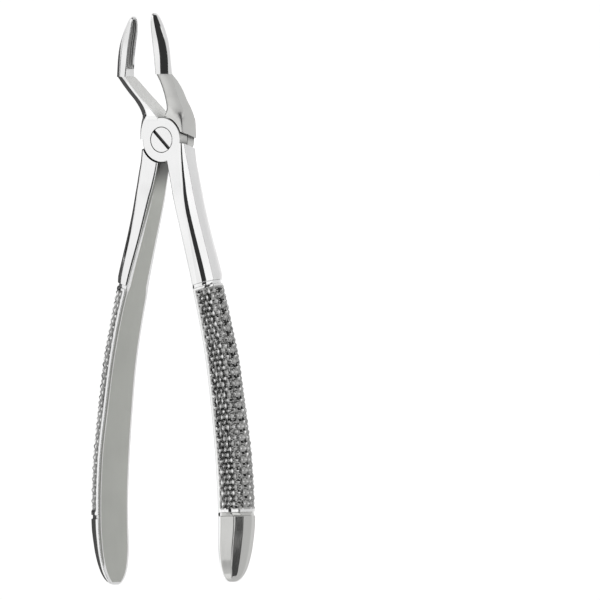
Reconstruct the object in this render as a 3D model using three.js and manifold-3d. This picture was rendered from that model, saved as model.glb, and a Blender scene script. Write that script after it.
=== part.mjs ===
// Extraction forceps, English pattern, bayonet beaks for upper roots.
// Millimetres. X spreads the handles, +Y points to the beaks, +Z is the joint pin
// axis on the screw-head side. The forceps lie on the rear edges of their handles.
import * as THREE from 'three';
import { mergeVertices } from 'three/addons/utils/BufferGeometryUtils.js';
import Module from 'manifold-3d';

// ---- overall -------------------------------------------------------------
const LENGTH = 180;
const TIP_Y = 39.7;                     // longer beak's tip, measured from the pin
const END_Y = TIP_Y - LENGTH;           // handle ends
const GAP = 0.3;                        // clearance between the halves
const SHANK_GAP = 0.1;                  // clearance round the screw's shank

// ---- lap joint -----------------------------------------------------------
const HALF_THICK = 4.25;                // half of the joint's full thickness
const DISC_R = 7.05;
const POCKET_R = DISC_R + GAP;
const DISC_CHAMFER = 0.2;
const ARM_SHOULDER_Y = 1.3;             // lower end of a beak arm beside the disc
const HANDLE_SHOULDER_Y = -2.2;         // upper end of a handle beside the disc
const SHOULDER_SLOPE = 0.25;            // both ends lean along the pin, y over z
const SHORT_ARM = 0.975;                // length of the left arm over the right arm
const SHORT_HANDLE = 0.9935;            // length of the right handle over the left one

// ---- joint screw -----------------------------------------------------------
const HEAD_R = 4.0;
const HEAD_H = 1.7;
const HEAD_CHAMFER = 0.15;
const SHANK_R = 2.2;
const SLOT_WIDTH = 1.05;
const SLOT_DEPTH = 0.9;
const SLOT_ANGLE = 45.5;                 // degrees from +X, clockwise from above

// ---- handle stations -------------------------------------------------------
// y, x of the inner flat, width, thickness, twist (deg)
const HANDLE = [
  [0.5, -0.2, 8.5, 7.6, 0],
  [-8, -1.6, 8.5, 7.3, 0],
  [-14, -2.95, 8.8, 7.2, 2],
  [-19, -4.25, 9.5, 7.15, 4],
  [-31, -7.55, 10.1, 7.0, 6],
  [-43, -11.0, 11.1, 6.95, 8],
  [-59, -15.1, 12.05, 6.55, 9],
  [-71, -17.45, 12.6, 6.85, 9],
  [-82, -19.0, 13.2, 6.7, 9],
  [-102, -21.3, 14.5, 6.5, 9],
  [-115, -21.95, 14.6, 6.55, 9],
  [-121, -22.0, 14.6, 6.4, 9],
  [-128.5, -21.7, 14.1, 5.7, 9],
  [-132.2, -21.55, 13.1, 5.1, 9],
  [-135.2, -21.45, 11.6, 4.4, 9],
  [-137.4, -21.4, 9.6, 3.7, 9],
  [-139, -21.4, 7.2, 2.8, 9],
  [-140, -21.4, 4.5, 1.9, 9],
  [END_Y, -21.4, 2.6, 1.3, 9],
];
// y, then the corners of the front half of the section from the flat to the crown,
// as a share of the thickness and a share of half the width
const FACETS = [
  [0.5, 0.88, 1, 0.915, 0.985, 0.95, 0.945, 0.995, 0.82],
  [-14, 0.62, 1, 0.70, 0.975, 0.80, 0.86, 0.965, 0.46],
  [-26, 0.5, 1, 0.575, 0.965, 0.72, 0.8, 0.92, 0.38],
  [-46.1, 0.36, 1, 0.60, 0.86, 0.74, 0.68, 0.93, 0.32],
  [-48.2, 0.27, 1, 0.46, 0.95, 0.68, 0.82, 0.91, 0.46],
  [-117.9, 0.27, 1, 0.46, 0.95, 0.68, 0.82, 0.91, 0.46],
  [-119.6, 0.23, 1, 0.51, 0.85, 0.80, 0.70, 1.0, 0.245],
  [END_Y, 0.23, 1, 0.51, 0.85, 0.80, 0.70, 1.0, 0.245],
];
const FLAT_BEVEL = 0.45;                // bevel along both edges of the inner flat
const BAND_SHANK = 2.2;                 // band beside the inner flat, on the shank
const BAND_GRIP = 1.2;
const BAND_SINK = 0.25;                 // how far the band falls away from the flat
const FULLER = [0.06, 0.10, 0.11, 0.04]; // extra on the front corners, on the shank
const FULL_FROM = [-3, -14];            // y where that extra comes in
const FULL_TO = [-44, -48];             // and where it goes out again
const GRIP_FROM = [-44, -50];           // y where the shank turns into the grip
const GRIP_BEVEL = 0.4;                 // share of the bevel left on the grip
const TWIST_DEPTH = 1.15;               // the twist turns about a line this far inside the flat

// ---- grip grooves ------------------------------------------------------------
const GROOVES = [-46.8, -118.8];
const GROOVE_HALF = 0.6;
const GROOVE_DEPTH = 0.45;
const GROOVE_WALL = 0.15;

// ---- beak arm stations ---------------------------------------------------------
// y, inner x, outer x, rear z, front z, front corner run and rise,
// rear corner run and rise, depth of the hollow in the inner face
const ARM_SHANK = [
  [-1.5, 0.0, 8.0, -4.25, 4.25, 0.3, 0.3, 0.6, 0.6, 0],
  [2.5, 0.2, 8.0, -4.25, 4.25, 0.6, 0.5, 0.8, 0.8, 0],
  [5.8, 0.8, 8.0, -4.25, 4.25, 1.9, 1.4, 1.1, 1.1, 0],
  [7.4, 1.4, 7.9, -3.8, 4.5, 2.8, 2.0, 1.3, 1.5, 0],
  [9.6, 2.5, 7.9, -2.6, 5.8, 3.0, 2.1, 1.5, 1.9, 0],
  [12.1, 3.65, 8.05, -0.3, 8.0, 3.0, 2.1, 1.7, 2.2, 0],
  [15.4, 4.75, 8.9, 3.4, 11.15, 3.0, 2.1, 1.9, 2.6, 0],
  [18.4, 5.4, 9.5, 7.1, 14.1, 2.9, 2.1, 2.9, 3.0, 0],
  [20.35, 5.6, 9.6, 10.0, 16.15, 2.6, 2.0, 3.6, 3.0, 0],
];
const ARM_BEAK = [
  [20.45, 5.6, 9.6, 10.7, 16.15, 2.1, 1.5, 2.4, 2.3, 0.1],
  [25.5, 5.05, 9.35, 11.2, 15.95, 2.1, 1.5, 2.5, 2.3, 0.8],
  [30, 4.5, 8.65, 11.15, 15.9, 2.0, 1.45, 2.3, 2.1, 0.9],
  [34, 3.9, 7.35, 11.05, 15.65, 1.75, 1.3, 1.8, 2.0, 0.8],
  [37, 3.5, 6.1, 11.4, 15.3, 1.35, 1.05, 1.3, 1.7, 0.6],
  [38.9, 3.4, 5.1, 12.1, 14.8, 0.9, 0.75, 1.0, 1.3, 0.3],
  [TIP_Y, 3.5, 4.4, 12.9, 14.1, 0.5, 0.4, 0.5, 0.5, 0],
];
const ARM_BEND_Y = 6.8;                 // where the arms turn up out of the joint
const FACET_FROM = [5.8, 9.6];          // y where their front corner turns into a facet
const EDGE_BEVEL = 0.25;
const FACET_SHARE = 0.8;                // how flat the front outer corner is

// ---- mesh fineness -----------------------------------------------------------
const CORNER_STEPS = 5;
const INNER_STEPS = 6;
const HANDLE_STEP = 3;
const ARM_STEP = 1.2;
const TIP_STATIONS = [38.3, 38.9, 39.4]; // extra sections near a beak's tip
const SLOPE_SPAN = 0.5;                 // half of the span a slope is taken over
const ROUND_SEGMENTS = 72;

const STEEL = { color: 0xc9cccf, roughness: 0.16, metalness: 1.0 };
const SCREW_STEEL = { color: 0xbfc2c5, roughness: 0.22, metalness: 1.0 };

const { smoothstep } = THREE.MathUtils;

const wasm = await Module();
wasm.setup();

function solid(geometry) {
  const bare = geometry.index ? geometry.toNonIndexed() : geometry.clone();
  bare.deleteAttribute('normal');
  bare.deleteAttribute('uv');
  const merged = mergeVertices(bare, 1e-4);
  return new wasm.Manifold(new wasm.Mesh({
    numProp: 3,
    vertProperties: merged.attributes.position.array,
    triVerts: new Uint32Array(merged.index.array),
  }));
}

function geometryOf(manifold) {
  const mesh = manifold.getMesh();
  const indexed = new THREE.BufferGeometry();
  indexed.setAttribute('position', new THREE.BufferAttribute(mesh.vertProperties, 3));
  indexed.setIndex(new THREE.BufferAttribute(mesh.triVerts, 1));
  const faceted = indexed.toNonIndexed();
  faceted.computeVertexNormals();
  return faceted;
}

// Row of a station table at y; columns follow smooth curves that do not overshoot.
function rowAt(table, y) {
  const last = table.length - 1;
  const falling = table[0][0] > table[last][0];
  let i = 0;
  while (i < last - 1 && (falling ? y < table[i + 1][0] : y > table[i + 1][0])) i++;
  const h = table[i + 1][0] - table[i][0];
  const t = THREE.MathUtils.clamp((y - table[i][0]) / h, 0, 1);
  return table[i].map((_, col) => {
    const slope = (k) => (table[k + 1][col] - table[k][col]) / (table[k + 1][0] - table[k][0]);
    const tangent = (k) => {
      if (k === 0) return slope(0);
      if (k === last) return slope(last - 1);
      const before = slope(k - 1);
      const after = slope(k);
      return before * after <= 0 ? 0 : (2 * before * after) / (before + after);
    };
    const a = table[i][col];
    const b = table[i + 1][col];
    const ta = tangent(i) * h;
    const tb = tangent(i + 1) * h;
    return a * (1 + 2 * t) * (1 - t) ** 2 + ta * t * (1 - t) ** 2
      + b * t * t * (3 - 2 * t) + tb * t * t * (t - 1);
  });
}

// Closed outline in (n, s): n runs from the inner face outwards, s from rear to front.
function outline(spec) {
  const { inner, outer, rear, front, bevel, hollow } = spec;
  const points = [];
  const lip = Math.min(bevel, (front - rear) / 8);
  for (let k = 0; k <= INNER_STEPS; k++) {
    const t = k / INNER_STEPS;
    const sink = hollow * Math.sin(Math.PI * t);
    points.push([inner + sink, rear + lip + (front - rear - 2 * lip) * t]);
  }
  points.push([inner + lip, front]);
  for (let k = 0; k <= CORNER_STEPS; k++) {
    const t = k / CORNER_STEPS;
    const a = (Math.PI / 2) * t;
    const round = 1 - spec.flatness;
    points.push([
      outer - spec.frontRun * (round * (1 - Math.sin(a)) + spec.flatness * (1 - t)),
      front - spec.frontRise * (round * (1 - Math.cos(a)) + spec.flatness * t),
    ]);
  }
  for (let k = 0; k <= CORNER_STEPS; k++) {
    const a = (Math.PI / 2) * (k / CORNER_STEPS);
    points.push([
      outer - spec.rearRun * (1 - Math.cos(a)),
      rear + spec.rearRise * (1 - Math.sin(a)),
    ]);
  }
  points.push([inner + lip, rear]);
  return points;
}

// Solid through a list of rings of equal count; both ends are capped.
function loft(rings) {
  const count = rings[0].length;
  const positions = [];
  const push = (...corners) => corners.forEach((c) => positions.push(...c));
  for (let r = 0; r + 1 < rings.length; r++) {
    for (let k = 0; k < count; k++) {
      const m = (k + 1) % count;
      push(rings[r][k], rings[r][m], rings[r + 1][m]);
      push(rings[r][k], rings[r + 1][m], rings[r + 1][k]);
    }
  }
  const cap = (ring, flip) => {
    const flat = ring.map(([x, , z]) => new THREE.Vector2(x, z));
    for (const [a, b, c] of THREE.ShapeUtils.triangulateShape(flat, [])) {
      if (flip) push(ring[a], ring[c], ring[b]);
      else push(ring[a], ring[b], ring[c]);
    }
  };
  const first = rings[0].map(([x, , z]) => new THREE.Vector2(x, z));
  const clockwise = THREE.ShapeUtils.isClockWise(first);
  cap(rings[0], !clockwise);
  cap(rings[rings.length - 1], clockwise);
  const geometry = new THREE.BufferGeometry();
  geometry.setAttribute('position', new THREE.Float32BufferAttribute(positions, 3));
  let body = solid(geometry);
  if (body.volume() < 0 || body.status() !== 'NoError') {
    const mirrored = geometry.clone();
    const p = mirrored.attributes.position;
    for (let i = 0; i < p.count; i += 3) {
      const [x, y, z] = [p.getX(i + 1), p.getY(i + 1), p.getZ(i + 1)];
      p.setXYZ(i + 1, p.getX(i + 2), p.getY(i + 2), p.getZ(i + 2));
      p.setXYZ(i + 2, x, y, z);
    }
    body = solid(mirrored);
  }
  return body;
}

function stationList(from, to, step, extra) {
  const n = Math.max(1, Math.round(Math.abs(to - from) / step));
  const list = [...extra];
  for (let i = 0; i <= n; i++) list.push(from + ((to - from) * i) / n);
  const sign = Math.sign(to - from);
  list.sort((a, b) => sign * (a - b));
  return list.filter((y, i) => i === 0 || Math.abs(y - list[i - 1]) > 0.05);
}

// 0 above a span of falling y, 1 below it.
const fading = (y, [from, to]) => smoothstep(-y, -from, -to);

// Handle on the -X side. Sections stand square to the inner flat, and their outer
// surface is cut back inside the grip grooves.
function handleRing(y) {
  const [, flatX, width, thick, twistDeg] = rowAt(HANDLE, y);
  const half = width / 2;
  const inGrip = fading(y, GRIP_FROM);
  const band = Math.min(BAND_SHANK + (BAND_GRIP - BAND_SHANK) * inGrip, half / 3);
  const bevel = Math.min(FLAT_BEVEL * (1 - (1 - GRIP_BEVEL) * inGrip), half / 5, thick / 8);
  const sink = Math.min(BAND_SINK, thick / 10);
  const full = fading(y, FULL_FROM) * (1 - fading(y, FULL_TO));
  const corners = rowAt(FACETS, y).slice(1);
  const inGroove = GROOVES.some((g) => Math.abs(y - g) < GROOVE_HALF - GROOVE_WALL / 2);
  const cut = inGroove ? GROOVE_DEPTH : 0;
  const halfSection = (extra) => [
    [0, half - band], [sink, half - bevel], [sink + bevel, half],
    ...FULLER.map((share, k) => [
      (corners[2 * k] + share * extra) * thick - cut, corners[2 * k + 1] * half - cut,
    ]),
  ];
  const front = halfSection(full);
  const crown = [[thick - cut, 0]];
  const rear = halfSection(0).map(([n, s]) => [n, -s]).reverse();
  const twist = THREE.MathUtils.degToRad(twistDeg);
  const clamped = THREE.MathUtils.clamp(y, END_Y + SLOPE_SPAN, HANDLE[0][0] - SLOPE_SPAN);
  const rise = rowAt(HANDLE, clamped + SLOPE_SPAN)[1] - rowAt(HANDLE, clamped - SLOPE_SPAN)[1];
  const lean = Math.atan(rise / (2 * SLOPE_SPAN));
  return [...front, ...crown, ...rear].map(([n, s]) => {
    const depth = n - TWIST_DEPTH;
    const out = TWIST_DEPTH + depth * Math.cos(twist) + s * Math.sin(twist);
    const up = s * Math.cos(twist) - depth * Math.sin(twist);
    return [flatX - out * Math.cos(lean), y + out * Math.sin(lean), up];
  });
}

function handle() {
  const grooveEdges = GROOVES.flatMap((g) => [
    g + GROOVE_HALF, g + GROOVE_HALF - GROOVE_WALL, g - GROOVE_HALF + GROOVE_WALL, g - GROOVE_HALF,
  ]);
  const ends = HANDLE.filter(([y]) => y < GROOVES[1]).map(([y]) => y);
  return loft(stationList(HANDLE[0][0], END_Y, HANDLE_STEP, [...grooveEdges, ...ends])
    .map(handleRing));
}

// Beak arm on the -X side, from beside the joint disc to the tip.
function armRing(table, y) {
  const row = rowAt(table, y);
  const [, inner, outer, rear, front, frontRun, frontRise, rearRun, rearRise, hollow] = row;
  const flatness = FACET_SHARE * smoothstep(y, ...FACET_FROM);
  return outline({
    inner, outer, rear, front, bevel: EDGE_BEVEL, hollow, flatness,
    frontRun, frontRise, rearRun, rearRise,
  }).map(([n, s]) => [-n, y, s]);
}

function beakArm() {
  const shankEnd = ARM_SHANK[ARM_SHANK.length - 1][0];
  const shank = stationList(ARM_SHANK[0][0], shankEnd, ARM_STEP, [ARM_BEND_Y]);
  const beak = stationList(ARM_BEAK[0][0], TIP_Y, ARM_STEP, TIP_STATIONS);
  return loft([
    ...shank.map((y) => armRing(ARM_SHANK, y)),
    ...beak.map((y) => armRing(ARM_BEAK, y)),
  ]);
}

function turned(profile) {
  const points = profile.map(([r, z]) => new THREE.Vector2(r, z));
  const lathe = new THREE.LatheGeometry(points, ROUND_SEGMENTS);
  lathe.rotateX(Math.PI / 2);
  return solid(lathe);
}

function cylinder(radius, z0, z1) {
  return turned([[0, z0], [radius, z0], [radius, z1], [0, z1]]);
}

const mirrorX = (body) => body.mirror([1, 0, 0]);
const turnedOver = (body) => body.rotate([0, 180, 0]);

// Block that ends at the leaning plane y = level + lean * z; side -1 fills below it.
function leaningBlock(level, lean, side) {
  const size = LENGTH / 2;
  return solid(new THREE.BoxGeometry(size, size, size)
    .translate(0, (side * size) / 2, 0)
    .rotateX(-Math.atan(lean))
    .translate(0, level, 0));
}

// Rear half: left handle, rear disc, right beak arm.
const plate = turned([
  [0, -HALF_THICK],
  [DISC_R - DISC_CHAMFER, -HALF_THICK],
  [DISC_R, -HALF_THICK + DISC_CHAMFER],
  [DISC_R, -GAP / 2],
  [0, -GAP / 2],
]);
const tall = 3 * HALF_THICK;
const pocket = cylinder(POCKET_R, -GAP / 2, tall);
const handleBody = handle().subtract(leaningBlock(HANDLE_SHOULDER_Y, -SHOULDER_SLOPE, 1));
const armBody = beakArm();
const rightArm = mirrorX(armBody).subtract(leaningBlock(ARM_SHOULDER_Y, SHOULDER_SLOPE, -1));
const leftArm = armBody.scale([1, SHORT_ARM, 1])
  .subtract(leaningBlock(ARM_SHOULDER_Y, -SHOULDER_SLOPE, -1));
const boreR = SHANK_R + SHANK_GAP;
const bore = cylinder(boreR, -tall, tall);

const rearHalf = handleBody.add(rightArm).subtract(pocket).add(plate).subtract(bore);

// Front half: right handle, front disc with the head recess, left beak arm.
const headRecess = cylinder(HEAD_R + GAP, HALF_THICK - HEAD_H - GAP, tall);
const rightHandle = turnedOver(handleBody.scale([1, SHORT_HANDLE, 1]));
const frontHalf = rightHandle.add(leftArm).subtract(turnedOver(pocket))
  .add(turnedOver(plate)).subtract(bore).subtract(headRecess);

// Joint screw: slotted head flush with the front disc, plain shank to the rear face.
const slot = solid(new THREE.BoxGeometry(3 * HEAD_R, SLOT_WIDTH, 2 * SLOT_DEPTH)
  .rotateZ(-THREE.MathUtils.degToRad(SLOT_ANGLE))
  .translate(0, 0, HALF_THICK));
const screw = turned([
  [0, -HALF_THICK],
  [SHANK_R, -HALF_THICK],
  [SHANK_R, HALF_THICK - HEAD_H],
  [HEAD_R, HALF_THICK - HEAD_H],
  [HEAD_R, HALF_THICK - HEAD_CHAMFER],
  [HEAD_R - HEAD_CHAMFER, HALF_THICK],
  [0, HALF_THICK],
]).subtract(slot);

// Set the lowest edge of the handles on z = 0 and centre the length on y = 0.
const lowest = Math.min(rearHalf.boundingBox().min[2], frontHalf.boundingBox().min[2]);
const shiftY = -(TIP_Y + END_Y) / 2;

const group = new THREE.Group();
group.name = 'extraction_forceps';
function place(name, body, look) {
  const mesh = new THREE.Mesh(
    geometryOf(body.translate([0, shiftY, -lowest])),
    new THREE.MeshStandardMaterial(look),
  );
  mesh.name = name;
  group.add(mesh);
}
place('rear_half', rearHalf, STEEL);
place('front_half', frontHalf, STEEL);
place('joint_screw', screw, SCREW_STEEL);

export default group;
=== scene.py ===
# Looks of the extraction forceps: polished halves, knurled grips, slotted joint screw.
# Lengths in the tables are millimetres, measured from the joint screw's axis at the
# middle of the joint. X spreads the handles, Y runs to the beaks, Z along the screw.
import math

import bpy
import numpy as np
from mathutils import Matrix, Vector


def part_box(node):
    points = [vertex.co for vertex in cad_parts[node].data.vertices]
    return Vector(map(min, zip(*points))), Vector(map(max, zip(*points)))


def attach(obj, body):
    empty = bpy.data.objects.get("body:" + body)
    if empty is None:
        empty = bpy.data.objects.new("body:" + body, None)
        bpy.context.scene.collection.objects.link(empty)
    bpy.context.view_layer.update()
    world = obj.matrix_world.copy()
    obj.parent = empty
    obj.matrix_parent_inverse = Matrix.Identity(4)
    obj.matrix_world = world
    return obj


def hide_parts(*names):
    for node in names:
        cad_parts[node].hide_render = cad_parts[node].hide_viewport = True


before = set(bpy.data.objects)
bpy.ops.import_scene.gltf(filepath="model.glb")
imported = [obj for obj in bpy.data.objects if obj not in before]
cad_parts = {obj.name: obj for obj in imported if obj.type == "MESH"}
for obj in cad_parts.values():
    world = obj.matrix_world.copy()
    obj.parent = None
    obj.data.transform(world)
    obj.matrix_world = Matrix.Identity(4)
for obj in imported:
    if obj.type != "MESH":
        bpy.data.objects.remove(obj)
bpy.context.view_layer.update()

scene = bpy.context.scene
MM = 0.001

# ---- sizes ------------------------------------------------------------------
TIP_Y = 39.7
END_Y = TIP_Y - 180.0
GAP = 0.3
HALF_THICK = 4.25
DISC_R = 7.05
POCKET_R = DISC_R + 0.45
DISC_CHAMFER = 0.2
ARM_SHOULDER_Y = 1.3
HANDLE_SHOULDER_Y = -2.2
SHOULDER_SLOPE = 0.25
SHORT_ARM = 0.975           # length of the left arm over the right one
SHORT_HANDLE = 0.9935       # length of the right handle over the left one
HEAD_R = 4.0
HEAD_H = 1.7
SCREW_CHAMFER = 0.15
HEAD_GAP = 0.12
SHANK_R = 2.2
SHANK_GAP = 0.1
SLOT_WIDTH = 1.05
SLOT_DEPTH = 0.9
SLOT_ANGLE = 45.5
TALL = 3 * HALF_THICK       # reaches past the joint on both sides
BORE_R = SHANK_R + SHANK_GAP
BLOCK_SIZE = 90.0           # block that trims a handle or an arm at its shoulder
TURNED_STEPS = 160

# ---- handles ----------------------------------------------------------------
# y, x of the inner flat, width, thickness, twist (deg)
HANDLE = np.array([
    [0.5, -0.2, 8.5, 7.6, 0],
    [-8, -1.6, 8.5, 7.3, 0],
    [-14, -2.95, 8.8, 7.2, 2],
    [-19, -4.25, 9.5, 7.15, 4],
    [-31, -7.55, 10.1, 7.0, 6],
    [-43, -11.0, 11.1, 6.95, 8],
    [-59, -15.1, 12.05, 6.55, 9],
    [-71, -17.45, 12.6, 6.85, 9],
    [-82, -19.0, 13.2, 6.7, 9],
    [-102, -21.3, 14.5, 6.5, 9],
    [-115, -21.95, 14.6, 6.55, 9],
    [-121, -22.0, 14.6, 6.4, 9],
    [-128.5, -21.7, 14.1, 5.7, 9],
    [-132.2, -21.55, 13.1, 5.1, 9],
    [-135.2, -21.45, 11.6, 4.4, 9],
    [-137.4, -21.4, 9.6, 3.7, 9],
    [-139, -21.4, 7.2, 2.8, 9],
    [-140, -21.4, 4.5, 1.9, 9],
    [END_Y, -21.4, 2.6, 1.3, 9],
])
# y, then the corners of half the section, as shares of thickness and half width
FACETS = np.array([
    [0.5, 0.88, 1, 0.915, 0.985, 0.95, 0.945, 0.995, 0.82],
    [-14, 0.62, 1, 0.70, 0.975, 0.80, 0.86, 0.965, 0.46],
    [-26, 0.5, 1, 0.575, 0.965, 0.72, 0.8, 0.92, 0.38],
    [-46.1, 0.36, 1, 0.60, 0.86, 0.74, 0.68, 0.93, 0.32],
    [-48.2, 0.27, 1, 0.46, 0.95, 0.68, 0.82, 0.91, 0.46],
    [-117.9, 0.27, 1, 0.46, 0.95, 0.68, 0.82, 0.91, 0.46],
    [-119.6, 0.23, 1, 0.51, 0.85, 0.80, 0.70, 1.0, 0.245],
    [END_Y, 0.23, 1, 0.51, 0.85, 0.80, 0.70, 1.0, 0.245],
])
FLAT_BEVEL = 0.45
GRIP_BEVEL_SHARE = 0.4      # how much of the flat's bevel is left on the grip
ON_FLAT = 1e-4              # points no deeper than this lie on the inner flat
TWIST_DEPTH = 1.15          # depth in the handle of the line it is twisted about
LEAN_STEP = 0.5             # the lean of a ring is measured over this either side
BAND_SHANK = 2.2            # polished band beside the inner flat, on the shank
BAND_GRIP = 1.2
BAND_SINK = 0.25            # how far the band falls away from the flat
FULLER = [0.06, 0.10, 0.11, 0.04]   # extra on the corners of the front side
FULL_FROM = (-3, -14)       # where the front side fills out, and where it stops
FULL_TO = (-44, -48)
GRIP_FROM = (-44, -50)      # where the shank's band and bevel turn into the grip's
SOFT_FROM = (-47.2, -48.2)  # corners are softer between these two
SOFT_TO = (-118, -119)
CORNER_SOFTNESS = 0.25
GRIP_SOFTNESS = 1.0         # extra, on the grip
FLAT_CORNER = 0.3           # roundings at the flat, along the band and on the back
BAND_CORNER = 0.12
BACK_CORNER = 2.0
EDGE_STEPS = [2, 1, 6, 5, 6, 10, 13]    # mesh steps on the edges of half a section
FLAT_STEPS = 8
FLAT_LEAD = 2               # mesh steps of the flat before and after its middle
CORNER_STEPS = (0, 0.25, 0.5, 0.75, 1)
CORNER_LIMIT = 0.4          # a rounding takes no more than this share of an edge
GROOVES = [-46.8, -118.8]
GROOVE_HALF = 0.65
GROOVE_DEPTH = 0.45
GROOVE_WALL = 0.18
GROOVE_FADE = (0.3, 0.9)    # how the grooves run out towards the inner flat
END_RIM = 0.9               # polished rim past the end of the inner flat
END_FROM = -136             # the rounded end starts here
STEP_GROOVE = 0.09          # distances between rings of a handle
STEP_KNURL = 0.22
STEP_PLAIN = 0.6
STEP_END = 0.12
SHORTEST_STEP = 0.02
NEAR_GROOVE = 1.2           # reach of the finer rings round a groove
NEAR_KNURL = 1              # and past the knurl's ends
KNURL_MARGIN = 18           # mesh steps beside the flat that keep the plain polish
CAP_MARGIN = 20

# ---- beak arms --------------------------------------------------------------
# y, inner x, outer x, rear z, front z, front corner run and rise, rear corner run
# and rise, depth of the hollow in the inner face
ARM_SHANK = np.array([
    [-1.5, 0.0, 8.0, -4.25, 4.25, 0.3, 0.3, 0.6, 0.6, 0],
    [2.5, 0.2, 8.0, -4.25, 4.25, 0.6, 0.5, 0.8, 0.8, 0],
    [5.8, 0.8, 8.0, -4.25, 4.25, 1.9, 1.4, 1.1, 1.1, 0],
    [7.4, 1.4, 7.9, -3.8, 4.5, 2.8, 2.0, 1.3, 1.5, 0],
    [9.6, 2.5, 7.9, -2.6, 5.8, 3.0, 2.1, 1.5, 1.9, 0],
    [12.1, 3.65, 8.05, -0.3, 8.0, 3.0, 2.1, 1.7, 2.2, 0],
    [15.4, 4.75, 8.9, 3.4, 11.15, 3.0, 2.1, 1.9, 2.6, 0],
    [18.4, 5.4, 9.5, 7.1, 14.1, 2.9, 2.1, 2.9, 3.0, 0],
    [20.35, 5.6, 9.6, 10.0, 16.15, 2.6, 2.0, 3.6, 3.0, 0],
])
ARM_BEAK = np.array([
    [20.45, 5.6, 9.6, 10.7, 16.15, 2.1, 1.5, 2.4, 2.3, 0.1],
    [25.5, 5.05, 9.35, 11.2, 15.95, 2.1, 1.5, 2.5, 2.3, 0.8],
    [30, 4.5, 8.65, 11.15, 15.9, 2.0, 1.45, 2.3, 2.1, 0.9],
    [34, 3.9, 7.35, 11.05, 15.65, 1.75, 1.3, 1.8, 2.0, 0.8],
    [37, 3.5, 6.1, 11.4, 15.3, 1.35, 1.05, 1.3, 1.7, 0.6],
    [38.9, 3.4, 5.1, 12.1, 14.8, 0.9, 0.75, 1.0, 1.3, 0.3],
    [TIP_Y, 3.5, 4.4, 12.9, 14.1, 0.5, 0.4, 0.5, 0.5, 0],
])
EDGE_BEVEL = 0.25
INNER_ROUNDING = 1.4        # front inner edge of the right arm
ROUNDING_FROM = (6.5, 10.0)
FACET_SHARE = 0.8           # how flat the front outer corner is
FACET_FROM = (5.8, 9.6)
SERRATION_DEPTH = 0.22
SERRATION_COUNT = 6
SERRATION_FROM = (22.0, 24.0)
SERRATION_TO = (38.4, 39.5)
SHADED_BEAK = (22.6, 38.8)  # the serrated stretch is dark between these two
INNER_STEPS = 49            # mesh points across the inner face
SERRATED = range(4, 44)     # those between the beak's smooth rims
EDGE_POINTS = 9             # mesh points round the front inner edge
CORNER_POINTS = 15          # mesh points round an outer corner
SIDE_STEPS = 7              # mesh steps across each other face
ARM_STEP = 0.3              # distance between rings of an arm
TIP_FROM = 38.6
TIP_STEP = 0.1

# ---- knurl ------------------------------------------------------------------
KNURL_ACROSS = 2.0          # one diamond, across the handle
KNURL_ALONG = 3.4           # one diamond, along the handle
KNURL_DEPTH = 0.9
KNURL_RISE = 0.14           # how far the points stand above the plain surface
KNURL_TOP = -48.0
KNURL_END = -117.2
KNURL_FADE = 0.9            # the knurl runs out over this at both ends
# the knurl's points above this height get the lighter polished steel: a painted highlight
POINT_HIGHLIGHT_TOP = 0.5              # lattice height above which the points are bright
POINT_TOP = 0.94            # the points are cut off here
KNURL_RIM = 1.35            # smooth rim beside the inner flat
RIM_FADE = 0.5

# places of the materials on the two halves
POLISHED, SATIN, RECESS, KNURLED, BRUSHED, CAP, BRIGHT = range(7)


def row_at(table, y):
    """Row of a station table at y, on smooth curves that do not overshoot."""
    last = len(table) - 1
    falling = table[0][0] > table[last][0]
    i = 0
    while i < last - 1 and (y < table[i + 1][0] if falling else y > table[i + 1][0]):
        i += 1
    h = table[i + 1][0] - table[i][0]
    t = min(max((y - table[i][0]) / h, 0.0), 1.0)

    def slope(k):
        return (table[k + 1] - table[k]) / (table[k + 1][0] - table[k][0])

    def tangent(k):
        if k == 0:
            return slope(0)
        if k == last:
            return slope(last - 1)
        a, b = slope(k - 1), slope(k)
        total = np.where(a + b == 0, 1.0, a + b)
        return np.where(a * b <= 0, 0.0, 2 * a * b / total)

    ta, tb = tangent(i) * h, tangent(i + 1) * h
    return (table[i] * (1 + 2 * t) * (1 - t) ** 2 + ta * t * (1 - t) ** 2
            + table[i + 1] * t * t * (3 - 2 * t) + tb * t * t * (t - 1))


def smooth(edge0, edge1, x):
    t = np.clip((x - edge0) / (edge1 - edge0), 0, 1)
    return t * t * (3 - 2 * t)


def rounded(points, radius, counts):
    """Polygon with rounded corners; edge k after its corner gets counts[k] steps."""
    points = np.asarray(points, float)
    made = []
    n = len(points)
    for k in range(n):
        p, a, b = points[k], points[k - 1], points[(k + 1) % n]
        la, lb = np.linalg.norm(a - p), np.linalg.norm(b - p)
        cut = min(radius[k], CORNER_LIMIT * la, CORNER_LIMIT * lb)
        start, end = p + (a - p) * cut / la, p + (b - p) * cut / lb
        for t in CORNER_STEPS:
            made.append(start * (1 - t) ** 2 + 2 * p * t * (1 - t) + end * t * t)
        cut_b = min(radius[(k + 1) % n], CORNER_LIMIT * lb,
                    CORNER_LIMIT * np.linalg.norm(points[(k + 2) % n] - b))
        stop = b + (p - b) * cut_b / lb
        for j in range(1, counts[k]):
            made.append(end + (stop - end) * j / counts[k])
    return np.array(made)


def ring_normals(ring):
    """Unit normals of a closed ring, all on the same side of it."""
    tangent = np.roll(ring, -1, 0) - np.roll(ring, 1, 0)
    tangent /= np.maximum(np.linalg.norm(tangent, axis=1, keepdims=True), 1e-9)
    return np.stack([-tangent[:, 1], tangent[:, 0]], 1)


def knurl_height(across, along):
    """Height of the knurl's points, 0 in the cuts between them, up to POINT_TOP."""
    p = across / KNURL_ACROSS + along / KNURL_ALONG
    q = across / KNURL_ACROSS - along / KNURL_ALONG
    dp = 0.5 - np.abs(p - np.floor(p) - 0.5)
    dq = 0.5 - np.abs(q - np.floor(q) - 0.5)
    return np.minimum(2 * np.minimum(dp, dq), POINT_TOP)


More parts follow.
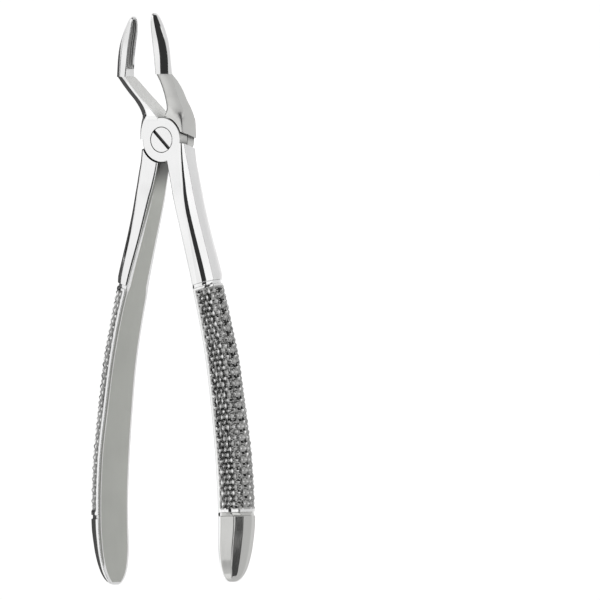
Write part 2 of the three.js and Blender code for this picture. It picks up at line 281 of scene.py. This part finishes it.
def handle_section(y):
    """Outline of a handle's section: depth from the inner flat, then half width."""
    _, _, width, thick, _ = row_at(HANDLE, y)
    half = width / 2
    corners = row_at(FACETS, y)[1:]
    in_grip = smooth(*GRIP_FROM, y)
    # the limits keep the band and bevel in proportion where the handle runs out
    band = min(BAND_SHANK + (BAND_GRIP - BAND_SHANK) * in_grip, half / 3)
    bevel = min(FLAT_BEVEL * (1 - (1 - GRIP_BEVEL_SHARE) * in_grip), half / 5, thick / 8)
    sink = min(BAND_SINK, thick / 10)
    fuller = smooth(*FULL_FROM, y) * (1 - smooth(*FULL_TO, y))

    def half_section(full):
        points = [(0, half - band), (sink, half - bevel), (sink + bevel, half)]
        for k, share in zip(range(0, 2 * len(FULLER), 2), FULLER):
            points.append(((corners[k] + share * full) * thick, corners[k + 1] * half))
        return points

    rear = [(n, -s) for n, s in reversed(half_section(0))]
    outline = half_section(fuller) + [(thick, 0)] + rear
    on_grip = smooth(*SOFT_FROM, y) - smooth(*SOFT_TO, y)
    soft = CORNER_SOFTNESS + GRIP_SOFTNESS * on_grip
    flank = [FLAT_CORNER, BAND_CORNER, BAND_CORNER] + [soft] * 4
    radius = flank + [BACK_CORNER] + flank[::-1]
    steps = EDGE_STEPS + EDGE_STEPS[::-1] + [FLAT_STEPS]
    return rounded(outline, radius, steps), half, band, bevel


def handle_relief(across, edge, y):
    """How far the knurl raises the surface or the grooves cut it, and the knurl's
    lattice, from the distance round the section and the distance to its polished band."""
    lift = np.zeros(len(across))
    lattice = knurl_height(across, y)
    cut = (smooth(KNURL_TOP, KNURL_TOP - KNURL_FADE, y)
           * smooth(KNURL_END, KNURL_END + KNURL_FADE, y))
    if cut > 0:
        fade = cut * smooth(KNURL_RIM, KNURL_RIM + RIM_FADE, edge)
        lift += fade * (KNURL_RISE + KNURL_DEPTH * (lattice - 1))
    for g in GROOVES:
        inside = 1 - smooth(GROOVE_HALF - GROOVE_WALL, GROOVE_HALF, abs(y - g))
        lift -= GROOVE_DEPTH * inside * smooth(*GROOVE_FADE, edge)
    return lift, lattice


def handle_ring(y):
    """One ring of a handle, and the height of the knurl's lattice round it."""
    _, flat_x, _, _, twist_deg = row_at(HANDLE, y)
    ring, half, band, bevel = handle_section(y)
    normal = ring_normals(ring)
    if np.dot(normal[len(normal) // 4], ring[len(ring) // 4] - ring.mean(0)) < 0:
        normal = -normal
    step = np.linalg.norm(np.diff(ring, axis=0), axis=1)
    arc = np.concatenate([[0], np.cumsum(step)])
    far_band = np.argmin(np.abs(ring[:, 1] + half - band) + ring[:, 0])
    edge = np.maximum(np.minimum(arc, arc[far_band] - arc) - band + bevel, 0)
    middle = arc[np.argmax(ring[:, 0])]
    lift, lattice = handle_relief(arc - middle, edge, y)
    lift[ring[:, 0] <= ON_FLAT] = 0
    ring = ring + normal * lift[:, None]
    twist = math.radians(twist_deg)
    clamped = min(max(y, END_Y + LEAN_STEP), 0.0)
    rise = (row_at(HANDLE, clamped + LEAN_STEP)[1]
            - row_at(HANDLE, clamped - LEAN_STEP)[1])
    lean = math.atan(rise)
    depth = ring[:, 0] - TWIST_DEPTH
    out = TWIST_DEPTH + depth * math.cos(twist) + ring[:, 1] * math.sin(twist)
    up = ring[:, 1] * math.cos(twist) - depth * math.sin(twist)
    ring = np.stack([flat_x - out * math.cos(lean), y + out * math.sin(lean), up], 1)
    return ring, lattice


def run(start, stop, steps, first=0):
    """Values from start towards stop, which is left out."""
    return [start + (stop - start) * j / steps for j in range(first, steps)]


def arm_ring(table, y, lip_size):
    """One ring of a beak arm; lip_size is the size of its front inner edge."""
    _, inner, outer, rear, front, frun, frise, rrun, rrise, hollow = row_at(table, y)
    lip = min(EDGE_BEVEL, (front - rear) / 8)
    top = lip_size * smooth(*ROUNDING_FROM, y)
    top = min(max(top, lip), (front - rear) * 0.3, (outer - inner) * 0.3)
    frun = min(frun, outer - inner - top)

    # inner face, hollow and serrated in the beak
    t = np.linspace(0, 1, INNER_STEPS)
    serrated = smooth(*SERRATION_FROM, y) * (1 - smooth(*SERRATION_TO, y))
    sink = hollow * np.sin(np.pi * t)
    sink = sink + (serrated * SERRATION_DEPTH * np.sin(np.pi * t) ** 0.5
                   * np.abs(np.sin(SERRATION_COUNT * np.pi * t)))
    points = [np.stack([inner + sink, rear + lip + (front - rear - lip - top) * t], 1)]

    # front inner edge, rounded or bevelled
    a = np.linspace(0, np.pi / 2, EDGE_POINTS)[1:-1]
    rounds = 1.0 if lip_size > EDGE_BEVEL else 0.0
    share = a / (np.pi / 2)
    points.append(np.stack([
        inner + top * (rounds * (1 - np.cos(a)) + (1 - rounds) * share),
        front - top * (rounds * (1 - np.sin(a)) + (1 - rounds) * (1 - share))], 1))

    # front face and front outer corner
    points.append([[x, front] for x in run(inner + top, outer - frun, SIDE_STEPS)])
    a = np.linspace(0, np.pi / 2, CORNER_POINTS)
    curved = np.stack([outer - frun * (1 - np.sin(a)), front - frise * (1 - np.cos(a))], 1)
    straight = np.stack([outer - frun * (1 - a / a[-1]), front - frise * a / a[-1]], 1)
    flat = FACET_SHARE * smooth(*FACET_FROM, y)
    points.append(curved * (1 - flat) + straight * flat)

    # outer side, rear outer corner and rear face
    points.append([[outer, z] for z in run(front - frise, rear + rrise, SIDE_STEPS, 1)])
    points.append(np.stack([outer - rrun * (1 - np.cos(a)),
                            rear + rrise * (1 - np.sin(a))], 1))
    rear_face = run(outer - rrun, inner + lip, SIDE_STEPS, 1) + [inner + lip]
    points.append([[x, rear] for x in rear_face])
    p = np.concatenate(points)
    return np.stack([-p[:, 0], np.full(len(p), y), p[:, 1]], 1)


def mesh_object(name, verts, faces, indices=None):
    mesh = bpy.data.meshes.new(name)
    mesh.from_pydata([tuple(v) for v in verts], [], faces)
    if indices is not None:
        mesh.polygons.foreach_set("material_index", np.array(indices, np.int32))
    mesh.update()
    obj = bpy.data.objects.new(name, mesh)
    scene.collection.objects.link(obj)
    return obj


def loft(name, rings, kind):
    """Closed skin over the rings; kind(ring, step) gives each face its material."""
    count = len(rings[0])
    verts = np.concatenate(rings)
    faces, indices = [], []
    for r in range(len(rings) - 1):
        for k in range(count):
            m = (k + 1) % count
            a, b = r * count, (r + 1) * count
            faces.append((a + k, a + m, b + m, b + k))
            indices.append(kind(r, k))
    faces.append(tuple(range(count))[::-1])
    faces.append(tuple(range((len(rings) - 1) * count, len(rings) * count)))
    indices += [POLISHED, POLISHED]
    obj = mesh_object(name, verts, faces, indices)
    volume = sum(np.dot(verts[f[0]], np.cross(verts[f[1]], verts[f[2]])) for f in faces[:-2])
    if volume < 0:
        obj.data.flip_normals()
    return obj


def lathe(name, profile):
    """Solid turned about the screw's axis from (radius, height) points."""
    n = TURNED_STEPS
    rings = []
    for r, z in profile:
        rings.append([(r * math.cos(2 * math.pi * k / n), r * math.sin(2 * math.pi * k / n),
                       z) for k in range(n)])
    verts = np.concatenate([np.array(r) for r in rings])
    faces = []
    for i in range(len(rings) - 1):
        for k in range(n):
            m = (k + 1) % n
            a, b = i * n, (i + 1) * n
            faces.append((a + k, a + m, b + m, b + k))
    top = (len(rings) - 1) * n
    faces.append(tuple(range(n))[::-1])
    faces.append(tuple(range(top, top + n)))
    return mesh_object(name, verts, faces)


def in_material(obj, index):
    obj.data.polygons.foreach_set("material_index", [index] * len(obj.data.polygons))
    return obj


# the faces these cut get the dark recess steel: painted shade
def cylinder(name, radius, z0, z1):
    return in_material(lathe(name, [(radius, z0), (radius, z1)]), RECESS)


def box_object(name, size, matrix):
    x, y, z = (s / 2 for s in size)
    verts = [matrix @ Vector(c) for c in (
        (-x, -y, -z), (x, -y, -z), (x, y, -z), (-x, y, -z),
        (-x, -y, z), (x, -y, z), (x, y, z), (-x, y, z))]
    faces = [(0, 3, 2, 1), (4, 5, 6, 7), (0, 1, 5, 4), (1, 2, 6, 5), (2, 3, 7, 6),
             (3, 0, 4, 7)]
    return mesh_object(name, verts, faces)


def leaning_block(name, level, lean, side):
    """Block with one face through Y = level, leaning; side 1 fills the side above it."""
    matrix = (Matrix.Translation((0, level, 0)) @ Matrix.Rotation(-math.atan(lean), 4, "X")
              @ Matrix.Translation((0, side * BLOCK_SIZE / 2, 0)))
    return box_object(name, (BLOCK_SIZE, BLOCK_SIZE, BLOCK_SIZE), matrix)


def combine(a, b, operation):
    """a with b joined or cut away; b is used up."""
    for o in (a, b):
        while len(o.data.materials) < len(MATERIALS):
            o.data.materials.append(MATERIALS[len(o.data.materials)])
    modifier = a.modifiers.new("cut", "BOOLEAN")
    modifier.operation = operation
    modifier.solver = "MANIFOLD"
    modifier.object = b
    depsgraph = bpy.context.evaluated_depsgraph_get()
    made = bpy.data.meshes.new_from_object(a.evaluated_get(depsgraph))
    a.modifiers.clear()
    a.data = made
    bpy.data.objects.remove(b)
    return a


def transformed(obj, matrix):
    obj.data.transform(matrix)
    if matrix.determinant() < 0:
        obj.data.flip_normals()
    obj.data.update()
    return obj


MIRROR_X = Matrix.Scale(-1, 4, (1, 0, 0))
TURN_OVER = Matrix.Rotation(math.pi, 4, "Y")


# ---- materials ----------------------------------------------------------------
MARKS_SCALE, MARKS_DETAIL = 900.0, 6.0      # fine polishing marks
WEAR_SCALE, WEAR_DETAIL = 90.0, 3.0         # patches of wear
MARKS_RANGE = (0.15, 0.4)
MARKS_DEPTH = 0.00002
WORN_TONE = 0.93
# colour of the painted shade in hollows and near the joint, and how steeply it deepens in
# hollows
PAINTED_SHADE = (0.02, 0.02, 0.02, 1)
PAINTED_SHADE_POWER = 2.6
SHADE_SAMPLES = 6
EDGE_SAMPLES = 4
# painted shade near the joint: strongest within DARK_AT of the screw's axis, gone by
# PLAIN_AT
DARK_AT = 0.008             # metres from the screw's axis
PLAIN_AT = 0.019
DARKENING = 0.8
SHARP_ON_HALVES = 22        # edges at least this sharp (deg) stay crisp
SHARP_ON_SCREW = 30


def new_material(name):
    material = bpy.data.materials.new(name)
    material.use_nodes = True
    return material, material.node_tree.nodes, material.node_tree.links


def steel(name, color, rough, rough_spread, bump, stretch, rounding, shade=0.0):
    """Steel with fine polishing marks, patchy wear and softly rounded edges.

    rounding is the edges' radius, and shade the width of the hollows and gaps between parts
    that get painted shade, both in metres.
    """
    material, nodes, links = new_material(name)
    shader = nodes["Principled BSDF"]
    shader.inputs["Metallic"].default_value = 1.0
    coord = nodes.new("ShaderNodeTexCoord")
    mapping = nodes.new("ShaderNodeMapping")
    mapping.inputs["Scale"].default_value = stretch
    links.new(coord.outputs["Object"], mapping.inputs["Vector"])
    grain = nodes.new("ShaderNodeTexNoise")
    grain.inputs["Scale"].default_value = MARKS_SCALE
    grain.inputs["Detail"].default_value = MARKS_DETAIL
    links.new(mapping.outputs["Vector"], grain.inputs["Vector"])
    wear = nodes.new("ShaderNodeTexNoise")
    wear.inputs["Scale"].default_value = WEAR_SCALE
    wear.inputs["Detail"].default_value = WEAR_DETAIL
    links.new(coord.outputs["Object"], wear.inputs["Vector"])
    mixed = nodes.new("ShaderNodeMath")
    mixed.operation = "MULTIPLY"
    links.new(grain.outputs["Fac"], mixed.inputs[0])
    links.new(wear.outputs["Fac"], mixed.inputs[1])
    spread = nodes.new("ShaderNodeMapRange")
    spread.inputs["From Min"].default_value = MARKS_RANGE[0]
    spread.inputs["From Max"].default_value = MARKS_RANGE[1]
    spread.inputs["To Min"].default_value = rough
    spread.inputs["To Max"].default_value = rough + rough_spread
    links.new(mixed.outputs["Value"], spread.inputs["Value"])
    links.new(spread.outputs["Result"], shader.inputs["Roughness"])
    tint = nodes.new("ShaderNodeMix")
    tint.data_type = "RGBA"
    tint.inputs["A"].default_value = (*color, 1)
    tint.inputs["B"].default_value = (*[c * WORN_TONE for c in color], 1)
    links.new(wear.outputs["Fac"], tint.inputs["Factor"])
    colour = tint.outputs["Result"]
    # painted shade: the colour darkens in hollows and where other parts come close, as far
    # as the ambient occlusion reaches
    if shade:
        hollow = nodes.new("ShaderNodeAmbientOcclusion")
        hollow.samples = SHADE_SAMPLES
        hollow.only_local = True
        hollow.inputs["Distance"].default_value = shade
        deep = nodes.new("ShaderNodeMath")
        deep.operation = "POWER"
        deep.inputs[1].default_value = PAINTED_SHADE_POWER
        links.new(hollow.outputs["AO"], deep.inputs[0])
        dim = nodes.new("ShaderNodeMix")
        dim.data_type = "RGBA"
        dim.inputs["A"].default_value = PAINTED_SHADE
        links.new(colour, dim.inputs["B"])
        links.new(deep.outputs["Value"], dim.inputs["Factor"])
        colour = dim.outputs["Result"]
    links.new(colour, shader.inputs["Base Color"])
    relief = nodes.new("ShaderNodeBump")
    relief.inputs["Strength"].default_value = bump
    relief.inputs["Distance"].default_value = MARKS_DEPTH
    links.new(grain.outputs["Fac"], relief.inputs["Height"])
    if rounding:
        edge = nodes.new("ShaderNodeBevel")
        edge.samples = EDGE_SAMPLES
        edge.inputs["Radius"].default_value = rounding
        links.new(edge.outputs["Normal"], relief.inputs["Normal"])
    links.new(relief.outputs["Normal"], shader.inputs["Normal"])
    return material


# colour, roughness and its spread, bump, stretch of the marks, rounding, width of the
# painted shade in recesses
MATERIALS = [
    steel("polished_steel", (0.63, 0.63, 0.63), 0.06, 0.05, 0.12, (1, 0.15, 1), 0.00012),
    # satin steel: its roughness is the real satin finish; its colour, darker than the
    # polished steel's, is painted shade, deepened near the joint
    steel("satin_steel", (0.365, 0.37, 0.35), 0.34, 0.08, 0.3, (1, 0.06, 1), 0.0),
    # dark recess steel on the screw's slot and the cut pockets, bores and head recess: its
    # near-black colour is painted shade
    steel("dark_recess", (0.10, 0.10, 0.10), 0.45, 0.1, 0.2, (1, 1, 1), 0.0),
    # knurled steel, also on the serrated beak: its darker colour is painted shade, deeper
    # still in the knurl's cuts
    steel("knurled_steel", (0.36, 0.36, 0.355), 0.10, 0.08, 0.15, (1, 1, 1), 0.0, 0.0012),
    # brushed steel: its roughness is the real brushed finish; its colour, darker than the
    # polished steel's, is painted shade, deepened within 5 mm of other parts
    steel("brushed_steel", (0.47, 0.47, 0.46), 0.30, 0.06, 0.2, (1, 0.1, 1), 0.0, 0.005),
    # cap steel on the handles' ends: a darker copy of the polished steel, painted shade
    steel("cap_steel", (0.42, 0.42, 0.41), 0.10, 0.06, 0.15, (1, 0.15, 1), 0.00012),
    # bright brushed steel on the left arm's inner face: lighter than the brushed steel,
    # painted light, with painted shade within 4 mm of other parts
    steel("bright_brushed_steel", (0.56, 0.56, 0.55), 0.26, 0.06, 0.2, (1, 0.1, 1), 0.0,
          0.004),
]

# the joint's middle, on the screw's axis
low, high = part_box("joint_screw")
pin = Vector(((low.x + high.x) / 2, (low.y + high.y) / 2, low.z + HALF_THICK * MM))


def paint_shade_near_joint(material):
    """Paints shade into a finish close to the joint, in the crotch of the handles."""
    nodes, links = material.node_tree.nodes, material.node_tree.links
    shader = nodes["Principled BSDF"]
    coord = nodes.new("ShaderNodeTexCoord")
    flat = nodes.new("ShaderNodeVectorMath")
    flat.operation = "MULTIPLY"
    flat.inputs[1].default_value = (1, 1, 0)
    reach = nodes.new("ShaderNodeVectorMath")
    reach.operation = "DISTANCE"
    reach.inputs[1].default_value = (pin.x, pin.y, 0)
    fade = nodes.new("ShaderNodeMapRange")
    fade.interpolation_type = "SMOOTHSTEP"
    fade.inputs["From Min"].default_value = DARK_AT
    fade.inputs["From Max"].default_value = PLAIN_AT
    fade.inputs["To Min"].default_value = DARKENING
    fade.inputs["To Max"].default_value = 0.0
    mix = nodes.new("ShaderNodeMix")
    mix.data_type = "RGBA"
    mix.inputs["B"].default_value = PAINTED_SHADE
    links.new(coord.outputs["Object"], flat.inputs[0])
    links.new(flat.outputs["Vector"], reach.inputs[0])
    links.new(reach.outputs["Value"], fade.inputs["Value"])
    links.new(fade.outputs["Result"], mix.inputs["Factor"])
    links.new(shader.inputs["Base Color"].links[0].from_socket, mix.inputs["A"])
    links.new(mix.outputs["Result"], shader.inputs["Base Color"])


# the satin inner flats get painted shade near the joint
paint_shade_near_joint(MATERIALS[SATIN])
SCREW = steel("screw_steel", (0.63, 0.63, 0.63), 0.12, 0.06, 0.2, (1, 0.1, 1), 0.00008)


# ---- the two halves -------------------------------------------------------------
def ring_step(y):
    """Distance from the ring at y to the next one down a handle."""
    if y < END_FROM:
        return STEP_END
    if min(abs(y - g) for g in GROOVES) < NEAR_GROOVE:
        return STEP_GROOVE
    near_knurl = KNURL_END - NEAR_KNURL < y < KNURL_TOP + NEAR_KNURL
    return STEP_KNURL if near_knurl else STEP_PLAIN


def handle(name):
    ys = [HANDLE[0][0]]
    while ys[-1] > END_Y + SHORTEST_STEP:
        ys.append(max(ys[-1] - ring_step(ys[-1]), END_Y))
    made = [handle_ring(y) for y in ys]
    rings = [ring for ring, _ in made]
    lattices = [lattice for _, lattice in made]
    flat_from = len(rings[0]) - FLAT_STEPS - FLAT_LEAD

    def kind(r, k):
        # the inner flat gets the satin steel, whose darker colour is painted shade
        if k >= flat_from or k < FLAT_LEAD:
            return SATIN if ys[r] > END_Y + END_RIM else POLISHED
        # on the knurl, the points' tops keep the lighter polished steel as a painted
        # highlight, the rest get the darker knurled steel as painted shade
        if KNURL_END < ys[r] < KNURL_TOP and KNURL_MARGIN < k < flat_from - KNURL_MARGIN:
            height = min(lattices[r][k], lattices[r + 1][k], lattices[r][k + 1],
                         lattices[r + 1][k + 1])
            return POLISHED if height > POINT_HIGHLIGHT_TOP else KNURLED
        # the handles' ends get the darker cap steel: painted shade
        if ys[r] < GROOVES[1] + GROOVE_HALF and CAP_MARGIN < k < flat_from - CAP_MARGIN:
            return CAP
        return POLISHED

    return loft(name, rings, kind)


def beak_arm(name, lip_size):
    """A beak arm. One with a rounded edge is brushed all over its shank but the inner
    face; one with a plain bevel is brushed on the inner face only."""
    shank_ys = [*np.arange(ARM_SHANK[0][0], ARM_SHANK[-1][0], ARM_STEP),
                ARM_SHANK[-1][0]]
    beak_ys = [*np.arange(ARM_BEAK[0][0], TIP_FROM - TIP_STEP, ARM_STEP),
               *np.arange(TIP_FROM, TIP_Y, TIP_STEP), TIP_Y]
    shank = [arm_ring(ARM_SHANK, y, lip_size) for y in shank_ys]
    beak = [arm_ring(ARM_BEAK, y, EDGE_BEVEL) for y in beak_ys]
    ys = shank_ys + beak_ys

    def kind(r, k):
        if r >= len(shank):
            shaded = k in SERRATED and SHADED_BEAK[0] < ys[r] < SHADED_BEAK[1]
            return KNURLED if shaded else POLISHED
        # the right arm's shank gets the darker brushed steel, painted shade; the left arm's
        # inner face the lighter bright brushed steel, painted light
        if lip_size > EDGE_BEVEL:
            return BRUSHED if k >= INNER_STEPS - 2 else POLISHED
        return BRIGHT if k < INNER_STEPS - 1 else POLISHED

    return loft(name, shank + beak, kind)


def plate(name):
    """Disc of the lap joint, polished on its outer face and brushed round its side."""
    disc = lathe(name, [(DISC_R - DISC_CHAMFER, -HALF_THICK),
                        (DISC_R, -HALF_THICK + DISC_CHAMFER), (DISC_R, -GAP / 2)])
    # the disc's side gets the darker brushed steel: painted shade
    in_material(disc, BRUSHED)
    disc.data.polygons[len(disc.data.polygons) - 2].material_index = POLISHED
    return disc


rear = combine(handle("steel_rear_half"),
               leaning_block("b1", HANDLE_SHOULDER_Y, -SHOULDER_SLOPE, 1), "DIFFERENCE")
arm = combine(transformed(beak_arm("arm_r", INNER_ROUNDING), MIRROR_X),
              leaning_block("b2", ARM_SHOULDER_Y, SHOULDER_SLOPE, -1), "DIFFERENCE")
rear = combine(rear, arm, "UNION")
rear = combine(rear, cylinder("pocket", POCKET_R, -GAP / 2, TALL), "DIFFERENCE")
rear = combine(rear, plate("plate"), "UNION")
rear = combine(rear, cylinder("bore", BORE_R, -TALL, TALL), "DIFFERENCE")

front = combine(handle("steel_front_half"),
                leaning_block("b3", HANDLE_SHOULDER_Y, -SHOULDER_SLOPE, 1), "DIFFERENCE")
front = transformed(front, TURN_OVER @ Matrix.Scale(SHORT_HANDLE, 4, (0, 1, 0)))
arm = combine(transformed(beak_arm("arm_l", EDGE_BEVEL),
                          Matrix.Scale(SHORT_ARM, 4, (0, 1, 0))),
              leaning_block("b4", ARM_SHOULDER_Y, -SHOULDER_SLOPE, -1), "DIFFERENCE")
front = combine(front, arm, "UNION")
front = combine(front, transformed(cylinder("pocket", POCKET_R, -GAP / 2, TALL),
                                   TURN_OVER), "DIFFERENCE")
front = combine(front, transformed(plate("plate"), TURN_OVER), "UNION")
front = combine(front, cylinder("bore", BORE_R, -TALL, TALL), "DIFFERENCE")
front = combine(front, cylinder("recess", HEAD_R + HEAD_GAP, HALF_THICK - HEAD_H - GAP,
                                TALL), "DIFFERENCE")

# ---- joint screw ------------------------------------------------------------------
screw = lathe("steel_joint_screw", [
    (SHANK_R - SCREW_CHAMFER, -HALF_THICK), (SHANK_R, -HALF_THICK + SCREW_CHAMFER),
    (SHANK_R, HALF_THICK - HEAD_H), (HEAD_R, HALF_THICK - HEAD_H),
    (HEAD_R, HALF_THICK - SCREW_CHAMFER), (HEAD_R - SCREW_CHAMFER, HALF_THICK)])
slot = box_object("slot", (3 * HEAD_R, SLOT_WIDTH, 2 * SLOT_DEPTH),
                  Matrix.Translation((0, 0, HALF_THICK))
                  @ Matrix.Rotation(-math.radians(SLOT_ANGLE), 4, "Z"))
# the slot's faces get the dark recess steel: painted shade
screw = combine(screw, in_material(slot, RECESS), "DIFFERENCE")

# ---- into the row frame ---------------------------------------------------------
TO_ROW = Matrix.Translation(pin) @ Matrix.Scale(MM, 4)


def finish_piece(obj, node, body, materials, angle):
    """Puts a piece in its place on its body, with its materials and its sharp edges."""
    obj.data.transform(TO_ROW)
    for k, m in enumerate(materials):
        obj.data.materials[k] = m
    obj.data.shade_smooth()
    obj.data.set_sharp_from_angle(angle=math.radians(angle))
    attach(obj, body)
    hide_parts(node)


finish_piece(rear, "rear_half", "rear", MATERIALS, SHARP_ON_HALVES)
finish_piece(front, "front_half", "front", MATERIALS, SHARP_ON_HALVES)
finish_piece(screw, "joint_screw", "rear", [SCREW, SCREW, MATERIALS[RECESS]],
             SHARP_ON_SCREW)


# ---- floor and studio ------------------------------------------------------------
FLOOR = 3.0
FLOOR_DROP = 0.0002         # just under the forceps
SHEET_DROP = 0.0001
FLOOR_GLOW = 0.95
WORLD_LIGHT = 0.05
CARD_DISTANCE = 0.6
END_CARD_DISTANCE = 0.62
GLOW_RANGE = (0.85, 1.1)    # a card's least and greatest glow, as shares of its strength
GLOW_PATCHES = 4.0
PATCH_RANGE = (0.3, 0.7)


def emitter(name, strength):
    """Softly uneven glow."""
    material, nodes, links = new_material(name)
    nodes.remove(nodes["Principled BSDF"])
    glow = nodes.new("ShaderNodeEmission")
    glow.inputs["Color"].default_value = (1, 1, 1, 1)
    uneven = nodes.new("ShaderNodeTexNoise")
    uneven.inputs["Scale"].default_value = GLOW_PATCHES
    uneven.inputs["Detail"].default_value = 0.0
    coord = nodes.new("ShaderNodeTexCoord")
    links.new(coord.outputs["Object"], uneven.inputs["Vector"])
    spread = nodes.new("ShaderNodeMapRange")
    spread.inputs["From Min"].default_value = PATCH_RANGE[0]
    spread.inputs["From Max"].default_value = PATCH_RANGE[1]
    spread.inputs["To Min"].default_value = strength * GLOW_RANGE[0]
    spread.inputs["To Max"].default_value = strength * GLOW_RANGE[1]
    links.new(uneven.outputs["Fac"], spread.inputs["Value"])
    links.new(spread.outputs["Result"], glow.inputs["Strength"])
    links.new(glow.outputs["Emission"], nodes["Material Output"].inputs["Surface"])
    return material


def reflected_sheet(name, corners, material):
    """Flat sheet that only shows in the steel."""
    obj = mesh_object(name, corners, [tuple(range(len(corners)))])
    obj.data.materials.append(material)
    obj.visible_camera = False
    obj.visible_shadow = False
    obj.visible_diffuse = False


def card(name, angle, spread, length, y, material):
    """Card along Y at an angle above +X, as seen from the joint."""
    half = CARD_DISTANCE * math.tan(math.radians(spread) / 2)
    a = math.radians(angle)
    centre = pin + Vector((math.cos(a) * CARD_DISTANCE, y, math.sin(a) * CARD_DISTANCE))
    across = Vector((-math.sin(a), 0, math.cos(a))) * half
    lengthways = Vector((0, length / 2, 0))
    reflected_sheet(name, [centre - across - lengthways, centre + across - lengthways,
                           centre + across + lengthways, centre - across + lengthways],
                    material)


def end_card(name, direction, width, height, material):
    """Card facing the joint from a direction, with its width level."""
    d = Vector(direction).normalized()
    matrix = (Matrix.Translation(pin + d * END_CARD_DISTANCE)
              @ d.to_track_quat("Z", "Y").to_matrix().to_4x4())
    w, h = width / 2, height / 2
    corners = [matrix @ Vector(c) for c in ((-w, -h, 0), (w, -h, 0), (w, h, 0), (-w, h, 0))]
    reflected_sheet(name, corners, material)


floor = mesh_object("floor", [(-FLOOR, -FLOOR, -FLOOR_DROP), (FLOOR, -FLOOR, -FLOOR_DROP),
                              (FLOOR, FLOOR, -FLOOR_DROP), (-FLOOR, FLOOR, -FLOOR_DROP)],
                    [(0, 1, 2, 3)])
floor_material, floor_nodes, _ = new_material("pale_floor")
floor_shader = floor_nodes["Principled BSDF"]
floor_shader.inputs["Base Color"].default_value = (0.95, 0.95, 0.95, 1)
floor_shader.inputs["Roughness"].default_value = 0.9
floor_shader.inputs["Emission Color"].default_value = (1, 1, 1, 1)
floor_shader.inputs["Emission Strength"].default_value = FLOOR_GLOW
floor.data.materials.append(floor_material)

world = bpy.data.worlds.new("studio")
world.use_nodes = True
world.node_tree.nodes["Background"].inputs["Color"].default_value = (1, 1, 1, 1)
world.node_tree.nodes["Background"].inputs["Strength"].default_value = WORLD_LIGHT
scene.world = world

white = emitter("white_card", 1.5)
grey = emitter("grey_card", 1.0)
# angle above +X, spread (deg), length along Y, middle along Y
card("card_top", 112, 88, 3.4, -0.35, white)
card("card_right", 19, 28, 1.0, -0.05, white)

# dark sheets on the floor, one under each side of the forceps, seen only in the steel:
# painted shade in its reflection of the floor
dark = emitter("dark_sheet", 0.12)
SHEETS = {
    "sheet_left": [(-0.012, 0.09), (-0.5, 0.09), (-0.5, -0.1), (-0.034, -0.1),
                   (-0.030, -0.03), (-0.012, 0.05)],
    "sheet_right": [(0.042, -0.105), (0.042, -0.3), (0.6, -0.5), (0.6, -0.05),
                    (0.15, -0.07)],
}
for name, corners in SHEETS.items():
    reflected_sheet(name, [(x, y, -SHEET_DROP) for x, y in corners], dark)
end_card("card_near", (-0.40, -0.90, 0.3), 0.8, 0.75, white)
end_card("card_near_right", (0.42, -0.84, 0.4), 0.4, 0.6, grey)

# ---- camera ----------------------------------------------------------------------
TILT, ROLL = math.radians(32), math.radians(0.7)
AIM_RIGHT, AIM_DOWN = 0.0437, 0.0505    # from the screw head
DISTANCE = 4.2

side = Vector((math.cos(TILT), 0, -math.sin(TILT)))
along = Vector((0, 1, 0))
right = side * math.cos(ROLL) - along * math.sin(ROLL)
up = side * math.sin(ROLL) + along * math.cos(ROLL)
back = right.cross(up)
head = pin + Vector((0, 0, HALF_THICK * MM))
aim = head + right * AIM_RIGHT - up * AIM_DOWN

camera = bpy.data.cameras.new("camera")
camera.lens = 800
camera.clip_end = 20
camera.sensor_width = 36
camera_object = bpy.data.objects.new("camera", camera)
camera_object.matrix_world = Matrix((
    (right.x, up.x, back.x, 0), (right.y, up.y, back.y, 0),
    (right.z, up.z, back.z, 0), (0, 0, 0, 1)))
camera_object.matrix_world.translation = aim + back * DISTANCE
scene.collection.objects.link(camera_object)
scene.camera = camera_object

scene.view_settings.view_transform = "Standard"
